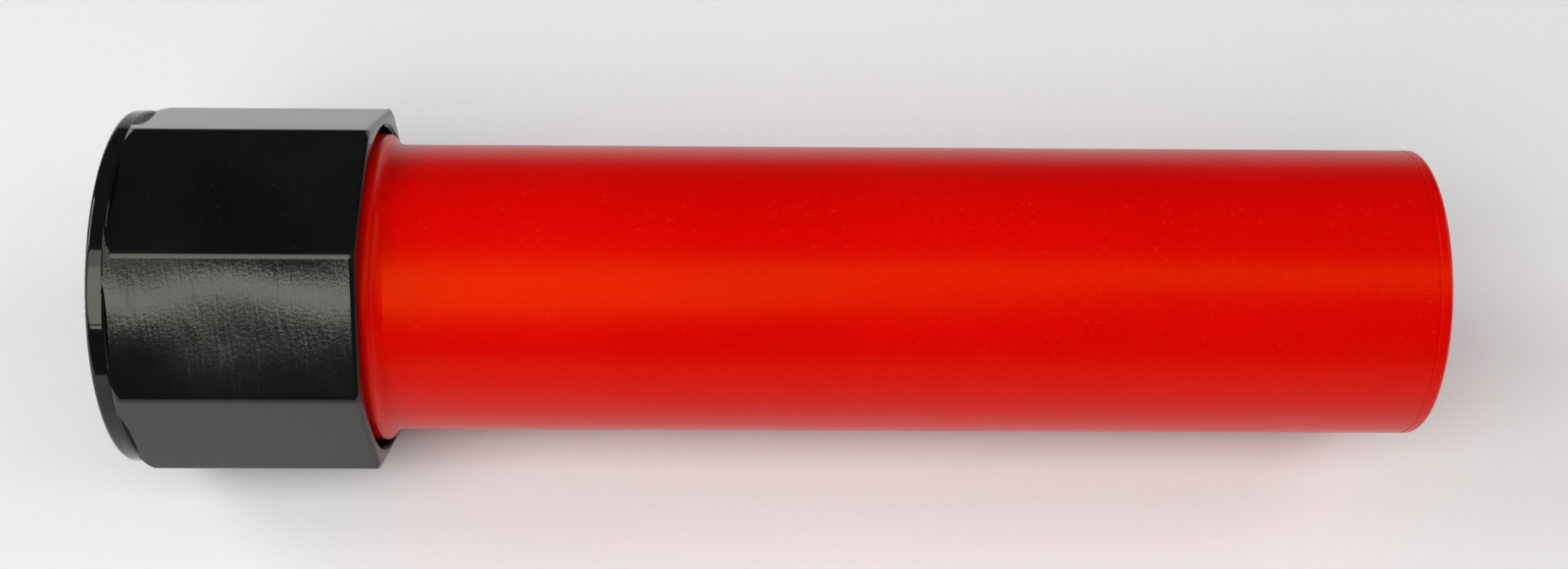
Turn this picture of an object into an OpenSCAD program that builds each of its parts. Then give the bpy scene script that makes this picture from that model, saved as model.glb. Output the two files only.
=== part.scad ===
// Twist-up marking crayon in its holder: octagonal turning base, guide barrel
// with lead screw and carrier, wax crayon, and a long closed push-on cover.
// Millimetres. Every piece is drawn along +Z from the closed end of the base
// (z = 0) to the closed end of the cover (z = overall_l), then laid along +X
// by lay() so that the rim of the base touches the floor, Z = 0.

/* [Overall] */
// Overall length, closed end of base to closed end of cover
overall_l = 120; // [100:1:160]

/* [Twist base] */
// Length of the octagonal base
base_l = 23.4; // [18:0.1:34]
// Apothem of the octagon, half of the size across flats
base_a = 15.95; // [12:0.05:22]
// Rounding of the eight long corners
base_corner_r = 1.0; // [0.4:0.1:4]
// Radius of the turned limit that rounds the corners at both ends
base_turn_r = 17.28; // [13:0.02:24]
// Rounding of the turned limit next to the rim
base_end_r = 1.85; // [0.5:0.05:4]
// Start of that rounding above the closed end
base_end_z = 1.2; // [0.1:0.05:2]
// Rounding of the turned limit at the mouth
base_mouth_r = 0.8; // [0.3:0.05:3]
// Radius of the round rim at the closed end
rim_r = 16.45; // [14:0.05:20]
// Height of the rim above the closed end
rim_l = 1.75; // [0.8:0.05:4]
// Rounding from the rim to the end face
rim_end_r = 0.5; // [0.1:0.05:1]
// Rounding of the rim on the side of the flats
rim_step_r = 0.25; // [0.1:0.05:0.6]
// Rounding of the flats at the mouth
base_lip_r = 0.5; // [0.2:0.05:0.8]
// Radius of the round bore in the mouth
base_bore_r = 15.1; // [12:0.05:20]
// Thickness of the closed end
base_floor_t = 2.0; // [1:0.1:4]
// Radius of the hub that holds the lead screw
hub_r = 5.0; // [4:0.1:8]
// Height of the hub top above the closed end
hub_top = 10.0; // [8:0.1:14]
// Number of stiffening ribs from hub to wall
rib_n = 8; // [4:1:12]
// Rib thickness
rib_t = 1.0; // [0.6:0.1:2]
// Height of the rib tops above the closed end
rib_top = 8.5; // [5:0.1:12]

/* [Lead screw] */
// Side of the square shank pressed into the hub
shank_w = 4.6; // [3:0.1:6]
// Depth of the shank end above the closed end
shank_z = 3.0; // [2.4:0.1:6]
// Radius of the neck that the barrel floor turns on
neck_r = 3.3; // [2.5:0.05:5]
// Radius of the collar that keeps the barrel on
collar_r = 5.4; // [4:0.1:8]
// Advance of the thread for one turn
lead = 5; // [3:0.5:10]
// Thread crest radius
crest_r = 4.2; // [3:0.05:6]
// Thread root radius
root_r = 3.1; // [2:0.05:5]
// Height of the free end of the screw
screw_end = 58.2; // [40:0.1:80]

/* [Barrel] */
// Outer radius of the barrel
barrel_r = 11.7; // [9:0.05:16]
// Inner radius of the barrel
barrel_in_r = 10.4; // [8:0.05:15]
// Underside of the barrel floor
barrel_z = 10.25; // [8:0.05:14]
// Thickness of the barrel floor
barrel_floor_t = 1.75; // [1:0.05:3]
// Height of the barrel mouth
barrel_top = 67; // [50:0.5:90]
// Radius of the shoulder that runs in the base bore
shoulder_r = 15.02; // [11:0.01:19.9]
// Underside of the shoulder
shoulder_z = 19.4; // [14:0.1:24]
// Thickness of the shoulder
shoulder_t = 2.0; // [1:0.1:4]
// Radius of the band that the cover grips
band_r = 11.92; // [9:0.01:16]
// Number of straight guide ribs inside the barrel
guide_n = 4; // [2:1:6]
// Width of a guide rib
guide_w = 1.5; // [1:0.1:3]
// Radius that the guide ribs reach in to
guide_r = 9.75; // [8:0.05:14]

/* [Carrier] */
// Underside of the carrier in the lowest position
carrier_z = 13.9; // [12:0.1:18]
// Outer radius of the carrier
carrier_r = 10.1; // [8:0.05:14]
// Radius of the pocket for the crayon
pocket_r = 9.0; // [7:0.05:13]
// Height of the carrier's rim above its underside
carrier_h = 10.1; // [6:0.1:14]
// Radius of the threaded boss
nut_r = 5.9; // [5:0.1:8]
// Height of the boss above the underside
nut_h = 9.1; // [5:0.1:12]
// Radial and axial clearance of the thread
thread_gap = 0.25; // [0.1:0.01:0.5]

/* [Crayon] */
// Radius of the crayon
crayon_r = 9.5; // [6:0.05:13]
// Radius of the bore round the screw
crayon_bore_r = 4.75; // [4:0.05:7]
// Rounding of the drawing end
crayon_tip_r = 1.3; // [0.3:0.1:4]

/* [Cover] */
// Outer radius of the cover
cover_r = 13.4; // [10:0.05:18]
// Inner radius of the cover
cover_in_r = 12.0; // [9:0.01:17]
// Open end of the cover
cover_z = 21.5; // [15:0.1:30]
// Radius of the flange at the open end
flange_r = 14.34; // [11:0.02:19]
// Height at which the flange starts to round over
flange_top = 23.7; // [18:0.02:34]
// Convex rounding of the flange's edge
flange_edge_r = 0.4; // [0.1:0.05:0.8]
// Steepest slope between that rounding and the fillet, in degrees
flange_deg = 65; // [30:1:85]
// Thickness of the closed end
cover_end_t = 1.8; // [1:0.1:4]
// Rounding of the closed end's edge
cover_edge_r = 0.45; // [0.1:0.05:2]

/* [Hidden] */
$fn = 96;
eps = 0.01;
carrier_floor_t = 2.5;
pocket_z = carrier_z + carrier_floor_t;
fin_t = 1.0;
fin_h = 2.6;
thread_z = 13.5;
// fillet that joins the flange's rounded edge to the tube, and where they meet
fillet_r = (flange_r - cover_r)/(1 - cos(flange_deg)) - flange_edge_r;
tube_z = flange_top + (flange_edge_r + fillet_r)*sin(flange_deg);
flange_t = [flange_r - flange_edge_r*(1 - cos(flange_deg)), flange_top + flange_edge_r*sin(flange_deg)];
wax_gap = 0.02;

module lay() {
    translate([-overall_l/2, 0, rim_r]) rotate([0, 90, 0]) children();
}

// ---- twist base ----
// octagon with round corners: tangent polygon plus eight corner circles
module oct2d(a, rc) {
    c = (a - rc)/cos(22.5);
    polygon([for (k = [0:7], s = [-1, 1])
        let (t = 22.5 + 45*k, u = t + s*22.5)
        [c*cos(t) + rc*cos(u), c*sin(t) + rc*sin(u)]]);
    for (k = [0:7]) rotate(22.5 + 45*k) translate([c, 0]) circle(rc);
}

// half profile of the turned limit
module turn2d() {
    difference() {
        square([base_turn_r, base_l]);
        difference() {
            translate([base_turn_r - base_end_r, -1]) square([base_end_r + 1, base_end_z + base_end_r + 1]);
            translate([base_turn_r - base_end_r, base_end_z + base_end_r]) circle(base_end_r);
        }
        difference() {
            translate([base_turn_r - base_mouth_r, base_l - base_mouth_r]) square([base_mouth_r + 1, base_mouth_r + 1]);
            translate([base_turn_r - base_mouth_r, base_l - base_mouth_r]) circle(base_mouth_r);
        }
    }
}

// half profile of the round rim
module rim2d() {
    difference() {
        square([rim_r, rim_l]);
        difference() {
            translate([rim_r - rim_end_r, -1]) square([rim_end_r + 1, rim_end_r + 1]);
            translate([rim_r - rim_end_r, rim_end_r]) circle(rim_end_r);
        }
        difference() {
            translate([rim_r - rim_step_r, rim_l - rim_step_r]) square([rim_step_r + 1, rim_step_r + 1]);
            translate([rim_r - rim_step_r, rim_l - rim_step_r]) circle(rim_step_r);
        }
    }
}

// what the rounding at the mouth takes off one flat
module lip2d() {
    difference() {
        translate([base_a - base_lip_r, base_l - base_lip_r]) square(base_lip_r + 2);
        translate([base_a - base_lip_r, base_l - base_lip_r]) circle(base_lip_r);
    }
}

module twist_base() color([0.05, 0.055, 0.06]) lay() {
    difference() {
        union() {
            intersection() {
                translate([0, 0, base_end_z]) linear_extrude(base_l - base_end_z) oct2d(base_a, base_corner_r);
                rotate_extrude() turn2d();
            }
            rotate_extrude() rim2d();
        }
        for (k = [0:7]) rotate(45*k) rotate([90, 0, 0])
            linear_extrude(24, center = true) lip2d();
        // cup
        translate([0, 0, base_floor_t]) cylinder(h = base_l, r = base_bore_r);
        translate([0, 0, base_l - 0.25]) cylinder(h = 0.35, r1 = base_bore_r, r2 = base_bore_r + 0.35);
        // moulding gate dimple
        translate([0, 0, -1]) cylinder(h = 1.4, r = 1.6);
    }
    difference() {
        union() {
            translate([0, 0, base_floor_t - 0.1]) cylinder(h = hub_top - base_floor_t + 0.1, r = hub_r);
            for (k = [0:rib_n - 1]) rotate(22.5 + 360/rib_n*k)
                translate([hub_r - 0.6, -rib_t/2, base_floor_t - 0.1])
                    cube([base_bore_r - hub_r + 0.8, rib_t, rib_top - base_floor_t + 0.1]);
        }
        translate([-shank_w/2, -shank_w/2, shank_z]) cube([shank_w, shank_w, hub_top]);
    }
}

// ---- thread ----
// section of a one-start trapezoid thread; g opens it all round for the nut
function thread_pts(g, n) = [for (i = [0:n - 1])
    let (t = 360/n*i - 180, w = 42 + g*360/lead, f = 58, u = abs(t),
         k = u < w ? 1 : (u > w + f ? 0 : 1 - (u - w)/f))
    (root_r + g + k*(crest_r - root_r))*[cos(t), sin(t)]];

module thread(z0, h, g) {
    translate([0, 0, z0]) rotate(360*z0/lead)
        linear_extrude(height = h, twist = -360*h/lead, slices = ceil(h/lead*16), $fn = 20)
            polygon(thread_pts(g, 20));
}

module lead_screw() color([0.88, 0.87, 0.83]) lay() {
    translate([-shank_w/2, -shank_w/2, shank_z]) cube([shank_w, shank_w, hub_top - shank_z + 0.2]);
    translate([0, 0, hub_top]) cylinder(h = thread_z - hub_top, r = neck_r);
    translate([0, 0, barrel_z + barrel_floor_t + 0.25])
        cylinder(h = thread_z - barrel_z - barrel_floor_t - 0.25, r = collar_r);
    thread(thread_z - 0.1, screw_end - 0.8 - thread_z + 0.1, 0);
    translate([0, 0, screw_end - 0.9]) cylinder(h = 0.9, r1 = root_r - 0.05, r2 = root_r - 0.8);
}

// ---- barrel ----
module barrel() color([0.06, 0.065, 0.07]) lay() {
    rotate_extrude() {
        translate([neck_r + 0.08, barrel_z]) square([barrel_r - neck_r - 0.08, barrel_floor_t]);
        difference() {
            translate([barrel_in_r, barrel_z]) square([barrel_r - barrel_in_r, barrel_top - barrel_z]);
            translate([barrel_r, barrel_top]) rotate(45) square(0.7, center = true);
            translate([barrel_in_r, barrel_top]) rotate(45) square(0.5, center = true);
            translate([barrel_r, barrel_z]) rotate(45) square(0.7, center = true);
        }
        difference() {
            translate([barrel_r - 0.2, shoulder_z]) square([shoulder_r - barrel_r + 0.2, shoulder_t]);
            translate([shoulder_r, shoulder_z]) rotate(45) square(0.6, center = true);
        }
        polygon([[barrel_r - 0.2, 23], [barrel_r, 23], [band_r, 23.4], [band_r, 29.6], [barrel_r, 30.4], [barrel_r - 0.2, 30.4]]);
    }
    for (k = [0:guide_n - 1]) rotate(45 + 360/guide_n*k)
        translate([guide_r, -guide_w/2, barrel_z + barrel_floor_t - 0.1])
            cube([barrel_in_r - guide_r + 0.3, guide_w, barrel_top - 1.2 - barrel_z - barrel_floor_t]);
}

// ---- carrier ----
module fins(t) {
    for (k = [0:3]) rotate(90*k)
        translate([nut_r - 0.4, -t/2, pocket_z - 0.1]) cube([pocket_r - nut_r + 0.6, t, fin_h]);
}

module carrier() color([0.9, 0.89, 0.86]) lay() difference() {
    union() {
        difference() {
            translate([0, 0, carrier_z]) cylinder(h = carrier_h, r = carrier_r);
            translate([0, 0, pocket_z]) cylinder(h = carrier_h, r = pocket_r);
            for (k = [0:guide_n - 1]) rotate(45 + 360/guide_n*k)
                translate([guide_r - 0.25, -guide_w/2 - 0.3, carrier_z - 1]) cube([2, guide_w + 0.6, carrier_h + 2]);
        }
        translate([0, 0, carrier_z]) cylinder(h = nut_h, r = nut_r);
        fins(fin_t);
    }
    thread(carrier_z - 0.5, nut_h + 1, thread_gap);
}

// ---- crayon ----
module crayon() color([0.72, 0.03, 0.03]) lay() difference() {
    union() {
        translate([0, 0, pocket_z]) cylinder(h = carrier_h, r = pocket_r - wax_gap);
        rotate_extrude() difference() {
            translate([0, carrier_z + carrier_h]) square([crayon_r, barrel_top - carrier_z - carrier_h]);
            difference() {
                translate([crayon_r - crayon_tip_r, barrel_top - crayon_tip_r]) square(crayon_tip_r + 1);
                translate([crayon_r - crayon_tip_r, barrel_top - crayon_tip_r]) circle(crayon_tip_r);
            }
        }
    }
    translate([0, 0, pocket_z - 1]) cylinder(h = carrier_z + nut_h - pocket_z + 1, r = nut_r + wax_gap);
    translate([0, 0, pocket_z]) cylinder(h = screw_end + 1 - pocket_z, r = crayon_bore_r);
    translate([0, 0, screw_end + 1]) cylinder(h = 2, r1 = crayon_bore_r, r2 = 1.5);
    fins(fin_t);
}

// ---- cover ----
module cover() color([0.80, 0.02, 0.01]) lay() difference() {
    rotate_extrude() {
        difference() {
            translate([0, cover_z]) square([flange_r, flange_top - cover_z]);
            translate([flange_r, cover_z]) rotate(45) square(0.7, center = true);
        }
        // rounded edge of the flange running into its fillet
        translate([flange_r - flange_edge_r, flange_top]) circle(flange_edge_r);
        difference() {
            polygon([[0, flange_top - 0.1], [flange_r - flange_edge_r, flange_top - 0.1],
                     flange_t, [cover_r, tube_z], [0, tube_z]]);
            translate([cover_r + fillet_r, tube_z]) circle(fillet_r);
        }
        polygon([[0, tube_z - 0.1], [cover_r, tube_z - 0.1], [cover_r, overall_l - 1.3], [cover_r - 0.08, overall_l - 1.22],
                 [cover_r - 0.08, overall_l - 1.08], [cover_r, overall_l - 1],
                 [cover_r, overall_l - cover_edge_r], [cover_r - cover_edge_r, overall_l - cover_edge_r],
                 [cover_r - cover_edge_r, overall_l], [0, overall_l]]);
        intersection() {
            translate([cover_r - cover_edge_r, overall_l - cover_edge_r]) circle(cover_edge_r);
            translate([cover_r - cover_edge_r - eps, overall_l - cover_edge_r - eps]) square(cover_edge_r + 1);
        }
    }
    translate([0, 0, cover_z - 1]) cylinder(h = overall_l - cover_end_t - cover_z + 1, r = cover_in_r);
    translate([0, 0, cover_z - 0.01]) cylinder(h = 0.6, r1 = cover_in_r + 0.6, r2 = cover_in_r);
    translate([0, 0, overall_l - 0.3]) cylinder(h = 1, r = 1.5);
}

twist_base();
lead_screw();
barrel();
carrier();
crayon();
cover();
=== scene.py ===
import math

import bpy
from mathutils import Matrix, Vector

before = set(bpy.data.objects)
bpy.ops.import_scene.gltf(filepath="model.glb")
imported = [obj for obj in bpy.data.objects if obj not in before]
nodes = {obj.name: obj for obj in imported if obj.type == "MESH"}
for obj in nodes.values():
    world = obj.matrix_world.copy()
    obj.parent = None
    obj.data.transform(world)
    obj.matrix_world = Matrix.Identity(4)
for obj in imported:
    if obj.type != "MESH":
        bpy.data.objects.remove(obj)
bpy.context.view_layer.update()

AXIS_Z = 0.01645          # height of the object's axis above the floor
LEFT_X = -0.060           # closed end of the base


# ---------------------------------------------------------------- materials
class Mat:
    """A procedural material, built node by node in object coordinates."""

    def __init__(self, name):
        self.m = bpy.data.materials.new(name)
        self.m.use_nodes = True
        t = self.m.node_tree
        t.nodes.clear()
        self.t = t
        self.out = t.nodes.new("ShaderNodeOutputMaterial")
        self.b = t.nodes.new("ShaderNodeBsdfPrincipled")
        t.links.new(self.b.outputs["BSDF"], self.out.inputs["Surface"])
        self.co = t.nodes.new("ShaderNodeTexCoord").outputs["Object"]

    def new(self, kind, **props):
        n = self.t.nodes.new(kind)
        for k, v in props.items():
            setattr(n, k, v)
        return n

    def link(self, a, b):
        self.t.links.new(a, b)

    def put(self, socket, value):
        self.b.inputs[socket].default_value = value

    def mapped(self, scale=(1, 1, 1), offset=(0, 0, 0)):
        n = self.new("ShaderNodeMapping")
        n.inputs["Scale"].default_value = scale
        n.inputs["Location"].default_value = offset
        self.link(self.co, n.inputs["Vector"])
        return n.outputs["Vector"]

    def noise(self, scale, detail=2.0, rough=0.5, vec=None, dist=0.0):
        n = self.new("ShaderNodeTexNoise")
        n.inputs["Scale"].default_value = scale
        n.inputs["Detail"].default_value = detail
        n.inputs["Roughness"].default_value = rough
        n.inputs["Distortion"].default_value = dist
        self.link(vec or self.co, n.inputs["Vector"])
        return n.outputs["Fac"]

    def ramp(self, src, stops, interp="LINEAR"):
        n = self.new("ShaderNodeValToRGB")
        r = n.color_ramp
        r.interpolation = interp
        while len(r.elements) > 1:
            r.elements.remove(r.elements[-1])
        for i, (p, c) in enumerate(stops):
            e = r.elements[0] if i == 0 else r.elements.new(p)
            e.position = p
            e.color = (c, c, c, 1) if isinstance(c, (int, float)) else (*c, 1)
        self.link(src, n.inputs["Fac"])
        return n.outputs["Color"]

    def span(self, src, a, b, c, d):
        n = self.new("ShaderNodeMapRange")
        for k, v in zip(("From Min", "From Max", "To Min", "To Max"), (a, b, c, d)):
            n.inputs[k].default_value = v
        self.link(src, n.inputs["Value"])
        return n.outputs["Result"]

    def math(self, op, a, b):
        n = self.new("ShaderNodeMath", operation=op)
        for i, v in enumerate((a, b)):
            if isinstance(v, (int, float)):
                n.inputs[i].default_value = v
            else:
                self.link(v, n.inputs[i])
        return n.outputs[0]

    def mix(self, fac, a, b, blend="MIX"):
        n = self.new("ShaderNodeMix", data_type="RGBA", blend_type=blend)
        for sock, v in ((n.inputs[0], fac), (n.inputs[6], a), (n.inputs[7], b)):
            if isinstance(v, (int, float)):
                sock.default_value = v
            elif isinstance(v, tuple):
                sock.default_value = (*v, 1)
            else:
                self.link(v, sock)
        return n.outputs[2]

    def bump(self, height, distance, strength=1.0, normal=None):
        n = self.new("ShaderNodeBump")
        n.inputs["Strength"].default_value = strength
        n.inputs["Distance"].default_value = distance
        self.link(height, n.inputs["Height"])
        if normal is not None:
            self.link(normal, n.inputs["Normal"])
        return n.outputs["Normal"]

    def use(self, color=None, rough=None, normal=None):
        if color is not None:
            self.link(color, self.b.inputs["Base Color"])
        if rough is not None:
            self.link(rough, self.b.inputs["Roughness"])
        if normal is not None:
            self.link(normal, self.b.inputs["Normal"])
        return self.m


def black_gloss():
    m = Mat("base_black_plastic")
    cloud = m.noise(90, 3, 0.55)
    tone = m.ramp(cloud, [(0.30, (0.0020, 0.0030, 0.0027)), (0.70, (0.0046, 0.0058, 0.0050))])
    speck = m.ramp(m.noise(2600, 1, 0.5), [(0.0, 0.0), (0.70, 0.0), (0.78, 1.0)])
    col = m.mix(m.math("MULTIPLY", speck, 0.35), tone, (0.020, 0.021, 0.020))
    # thin handling marks run mostly round the grip
    marks = m.noise(420, 4, 0.6, m.mapped((5.0, 0.6, 0.6)))
    marks = m.ramp(marks, [(0.0, 0.0), (0.58, 0.0), (0.72, 1.0)])
    rough = m.math("ADD", m.span(cloud, 0.3, 0.7, 0.054, 0.076), m.math("MULTIPLY", marks, 0.03))
    sink = m.noise(118, 0.0, 0.4)
    streak = m.noise(1300, 1, 0.5, m.mapped((3.0, 0.30, 0.30)))
    grain = m.noise(3200, 2, 0.6)
    nrm = m.bump(sink, 0.000050)
    nrm = m.bump(streak, 0.0000052, normal=nrm)
    nrm = m.bump(grain, 0.0000017, normal=nrm)
    m.put("IOR", 1.42)
    m.put("Specular IOR Level", 0.5)
    m.put("Specular Tint", (0.98, 1.0, 0.88, 1))
    return m.use(col, rough, nrm)


def red_satin():
    m = Mat("cover_red_plastic")
    cloud = m.noise(45, 3, 0.5)
    tone = m.ramp(cloud, [(0.30, (0.560, 0.0006, 0.0003)), (0.70, (0.615, 0.0011, 0.0005))])
    speck = m.ramp(m.noise(2100, 1, 0.5), [(0.0, 0.0), (0.66, 0.0), (0.76, 1.0)])
    col = m.mix(m.math("MULTIPLY", speck, 0.22), tone, (0.72, 0.026, 0.008))
    scuff = m.noise(300, 4, 0.62, m.mapped((0.7, 4.0, 4.0)))
    scuff = m.ramp(scuff, [(0.0, 0.0), (0.64, 0.0), (0.74, 1.0)])
    rough = m.math("ADD", m.span(cloud, 0.3, 0.7, 0.28, 0.34), m.math("MULTIPLY", scuff, 0.06))
    wave = m.noise(110, 1, 0.4)
    grain = m.noise(1900, 2, 0.6)
    nrm = m.bump(wave, 0.00006)
    nrm = m.bump(grain, 0.000016, normal=nrm)
    m.put("IOR", 1.42)
    m.put("Specular IOR Level", 0.5)
    m.put("Specular Tint", (0.93, 0.19, 0.012, 1))
    m.put("Subsurface Weight", 0.06)
    m.put("Subsurface Radius", (1.0, 0.25, 0.12))
    m.put("Subsurface Scale", 0.001)
    return m.use(col, rough, nrm)


def black_matt():
    m = Mat("barrel_black_plastic")
    cloud = m.noise(80, 3, 0.5)
    col = m.ramp(cloud, [(0.3, (0.016, 0.017, 0.018)), (0.7, (0.026, 0.027, 0.028))])
    rub = m.ramp(m.noise(260, 4, 0.6, m.mapped((0.4, 5.0, 5.0))), [(0.0, 0.0), (0.58, 0.0), (0.72, 1.0)])
    rough = m.math("ADD", m.span(cloud, 0.3, 0.7, 0.36, 0.46), m.math("MULTIPLY", rub, -0.08))
    nrm = m.bump(m.noise(1600, 3, 0.6), 0.000020)
    m.put("IOR", 1.49)
    return m.use(col, rough, nrm)


def natural():
    m = Mat("natural_plastic")
    cloud = m.noise(120, 3, 0.5)
    col = m.ramp(cloud, [(0.3, (0.72, 0.70, 0.63)), (0.7, (0.80, 0.785, 0.72))])
    wax = m.ramp(m.noise(340, 3, 0.6), [(0.0, 0.0), (0.60, 0.0), (0.74, 1.0)])
    col = m.mix(m.math("MULTIPLY", wax, 0.10), col, (0.62, 0.10, 0.07))
    rough = m.span(cloud, 0.3, 0.7, 0.32, 0.44)
    nrm = m.bump(m.noise(1500, 3, 0.6), 0.000015)
    m.put("IOR", 1.49)
    m.put("Subsurface Weight", 0.25)
    m.put("Subsurface Radius", (1.0, 0.85, 0.6))
    m.put("Subsurface Scale", 0.0015)
    return m.use(col, rough, nrm)


def wax():
    m = Mat("crayon_wax")
    cloud = m.noise(150, 4, 0.6)
    col = m.ramp(cloud, [(0.28, (0.42, 0.010, 0.008)), (0.72, (0.60, 0.022, 0.014))])
    bloom = m.ramp(m.noise(500, 4, 0.65), [(0.0, 0.0), (0.60, 0.0), (0.75, 1.0)])
    col = m.mix(m.math("MULTIPLY", bloom, 0.22), col, (0.70, 0.20, 0.17))
    rough = m.math("ADD", m.span(cloud, 0.3, 0.7, 0.40, 0.52), m.math("MULTIPLY", bloom, 0.10))
    drag = m.noise(330, 3, 0.6, m.mapped((0.25, 4.0, 4.0)))
    nrm = m.bump(m.noise(260, 3, 0.55), 0.00010)
    nrm = m.bump(drag, 0.00005, normal=nrm)
    m.put("IOR", 1.44)
    m.put("Subsurface Weight", 0.15)
    m.put("Subsurface Radius", (1.0, 0.2, 0.1))
    m.put("Subsurface Scale", 0.0015)
    return m.use(col, rough, nrm)


def paper():
    m = Mat("floor_paper")
    cloud = m.noise(3.0, 3, 0.5)
    col = m.ramp(cloud, [(0.3, (0.735, 0.735, 0.731)), (0.7, (0.760, 0.760, 0.755))])
    rough = m.span(cloud, 0.3, 0.7, 0.80, 0.88)
    nrm = m.bump(m.noise(900, 3, 0.6), 0.00002)
    return m.use(col, rough, nrm)


LOOK = {
    "twist_base": black_gloss(),
    "cover": red_satin(),
    "barrel": black_matt(),
    "crayon": wax(),
}
plain = natural()
LOOK["lead_screw"] = plain
LOOK["carrier"] = plain
for name, o in nodes.items():
    o.data.materials.clear()
    o.data.materials.append(LOOK[name])

# ---------------------------------------------------------------- stage
def grid(name, x0, x1, y0, y1, z, n, mat):
    vs, fs = [], []
    for j in range(n + 1):
        for i in range(n + 1):
            vs.append((x0 + (x1 - x0) * i / n, y0 + (y1 - y0) * j / n, z))
    for j in range(n):
        for i in range(n):
            a = j * (n + 1) + i
            fs.append((a, a + 1, a + n + 2, a + n + 1))
    me = bpy.data.meshes.new(name)
    me.from_pydata(vs, [], fs)
    me.materials.append(mat)
    o = bpy.data.objects.new(name, me)
    bpy.context.scene.collection.objects.link(o)
    return o


floor = grid("floor", -2.5, 2.5, -2.5, 2.5, -0.0002, 8, paper())


def softbox(name, at, aim, sx, sy, power, shape="RECTANGLE", color=(1, 1, 1)):
    d = bpy.data.lights.new(name, "AREA")
    d.shape = shape
    d.size = sx
    d.size_y = sy
    d.energy = power
    d.color = color
    o = bpy.data.objects.new(name, d)
    o.location = at
    o.rotation_euler = (Vector(aim) - Vector(at)).to_track_quat("-Z", "Y").to_euler()
    bpy.context.scene.collection.objects.link(o)
    return o


H = 0.60


def over(elev):
    """Distance in front of the object of a point at height H seen at this elevation."""
    return -H / math.tan(math.radians(elev))


def ceiling(name, x, e0, e1, width, radiance, shape, turn=0.0):
    """A soft light facing down at height H that spans the elevations e0 to e1."""
    y0, y1 = over(e0), over(e1)
    area = width * (y1 - y0) * (math.pi / 4 if shape == "ELLIPSE" else 1.0)
    cy = (y0 + y1) / 2
    o = softbox(name, (x, cy, H + AXIS_Z), (x, cy, 0.0), width, y1 - y0, radiance * math.pi * area, shape)
    o.rotation_euler = (0.0, 0.0, math.radians(turn))
    return o


ceiling("key_overhead", -0.46, 33.6, 70.0, 1.05, 4.1, "ELLIPSE", 10.0)
ceiling("key_lip", -0.37, 30.90, 32.60, 0.36, 5.5, "RECTANGLE", -3.0)
ceiling("key_strip", 0.12, 59.0, 80.0, 1.40, 2.6, "RECTANGLE")
softbox("side_left", (-1.05, 0.30, 0.80), (0.0, 0.1, 0.016), 0.60, 0.60, 5.6)
softbox("side_right", (1.05, 0.30, 0.80), (0.0, 0.1, 0.016), 0.60, 0.60, 3.2)
softbox("left_wall", (-0.95, -0.15, 0.30), (-0.05, 0.0, 0.016), 0.70, 0.50, 1.5)
softbox("right_panel", (0.95, -0.04, 0.24), (0.05, 0.0, 0.016), 0.20, 0.16, 0.7)

w = bpy.data.worlds.new("room")
w.use_nodes = True
w.node_tree.nodes["Background"].inputs["Color"].default_value = (0.55, 0.58, 0.60, 1)
w.node_tree.nodes["Background"].inputs["Strength"].default_value = 0.08
bpy.context.scene.world = w
bpy.context.scene.view_settings.view_transform = "Standard"

# ---------------------------------------------------------------- camera
ELEV = math.radians(58.25)
DIST = 0.19833
PX = 10.79e3              # photograph pixels for one metre at the axis
CAM_X = LEFT_X + 0.060748
YAW = math.radians(1.0)   # the closed end of the cover lies a little further away
ROLL = math.radians(0.28)
d = bpy.data.cameras.new("camera")
d.sensor_width = 36.0
d.lens = 48.15
d.dof.use_dof = False
d.clip_start = 0.005
d.clip_end = 20.0
cam = bpy.data.objects.new("camera", d)
toward = Vector((0.0, -math.cos(ELEV), math.sin(ELEV)))
up = Vector((0.0, math.sin(ELEV), math.cos(ELEV)))
right = Vector((1.0, 0.0, 0.0)) * math.cos(YAW) + toward * math.sin(YAW)
back = toward * math.cos(YAW) - Vector((1.0, 0.0, 0.0)) * math.sin(YAW)
aim = Vector((CAM_X, 0.0, AXIS_Z)) + up * (4.16 / PX)
place = Matrix.Translation(aim + back * DIST) @ Matrix((
    (right.x, up.x, back.x, 0),
    (right.y, up.y, back.y, 0),
    (right.z, up.z, back.z, 0),
    (0, 0, 0, 1),
))
cam.matrix_world = place @ Matrix.Rotation(ROLL, 4, "Z")
bpy.context.scene.collection.objects.link(cam)
bpy.context.scene.camera = cam
